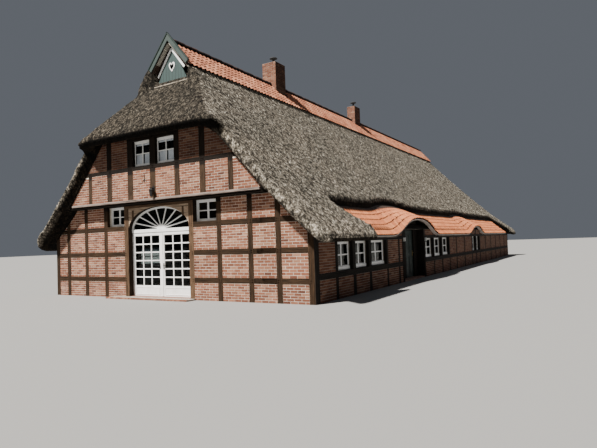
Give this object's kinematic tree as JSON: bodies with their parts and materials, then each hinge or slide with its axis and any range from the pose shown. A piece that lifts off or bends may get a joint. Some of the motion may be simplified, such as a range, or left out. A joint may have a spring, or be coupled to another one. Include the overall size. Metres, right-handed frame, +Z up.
{
  "type": "thatched hall house",
  "caption": "Long half-timbered brick hall house under a deep thatched roof, with an arched gate, a tiled eyebrow roof over a side door, a tiled ridge and chimneys.",
  "frame": {"origin": "ground level under the middle of the roof, at the outer face of the lower front wall", "axes": "+Z up, +Y back along the ridge, +X to the right along the gable front"},
  "size_m": [12.698, 34.917, 10.2303],
  "materials": {
    "thatch": "weathered reed thatch",
    "brick": "matt brick in pale mortar",
    "timber": "dark weathered oak",
    "beam": "pale weathered oak",
    "gate_wood": "brown stained wood",
    "white": "white paint",
    "tile": "fired clay",
    "ridge": "fired clay",
    "panel": "grey-green paint",
    "green": "dark green paint",
    "glass": "clear",
    "paving": "worn paving",
    "boards": "bare boards",
    "stone": "pale stone",
    "iron": "black paint",
    "zinc": "grey sheet metal"
  },
  "bodies": {
    "house": {"front_wall_left": "brick", "front_wall_right": "brick", "front_gable_wall": "brick", "right_wall_front": "brick", "right_wall_rear": "brick", "left_wall": "brick", "rear_wall": "brick", "porch_wall_front": "brick", "porch_wall_rear": "brick", "front_frame_left": "timber", "front_frame_right": "timber", "gable_frame": "timber", "right_frame": "timber", "left_frame": "timber", "rear_frame": "timber", "gable_sill_beam": "beam", "gate_frame": "gate_wood", "front_window_left": "white", "front_window_right": "white", "gable_window_left": "white", "gable_window_right": "white", "side_windows_front": "white", "side_windows_rear": "white", "left_windows": "white", "rear_windows": "white", "fanlight": "white", "front_glass_left": "glass", "front_glass_right": "glass", "gable_glass": "glass", "side_glass_front": "glass", "side_glass_rear": "glass", "left_glass": "glass", "rear_glass": "glass", "fanlight_glass": "glass", "porch_lamp_front": "iron", "porch_lamp_rear": "iron", "gate_lantern": "iron", "ground_floor": "paving", "attic_floor": "boards", "gate_threshold": "stone", "thatch_left": "thatch", "thatch_right": "thatch", "thatch_front_hip": "thatch", "thatch_rear_hip": "thatch", "side_tile_roof": "tile", "ridge_tiles": "ridge", "gablet_panel": "panel", "rear_gablet": "panel", "bargeboards": "panel", "chimney_front": "brick", "chimney_rear": "brick", "chimney_front_cap": "zinc", "chimney_rear_cap": "zinc"},
    "gate_left": {"gate_leaf_left": "white", "gate_glass_left": "glass"},
    "gate_right": {"gate_leaf_right": "white", "gate_glass_right": "glass"},
    "porch_door_leaf": {"porch_door": "green"}
  },
  "joints": [
    {"name": "gate_left_hinge", "type": "hinge", "parent": "house", "child": "gate_left", "pos_m": [-1.6525, 0.248, 0], "axis": [0, 0, 1], "range_deg": [0, 95]},
    {"name": "gate_right_hinge", "type": "hinge", "parent": "house", "child": "gate_right", "pos_m": [1.1745, 0.248, 0], "axis": [0, 0, -1], "range_deg": [0, 95]},
    {"name": "porch_door_hinge", "type": "hinge", "parent": "house", "child": "porch_door_leaf", "pos_m": [5.322, 8.458, 0], "axis": [0, 0, 1], "range_deg": [0, 90]}
  ]
}
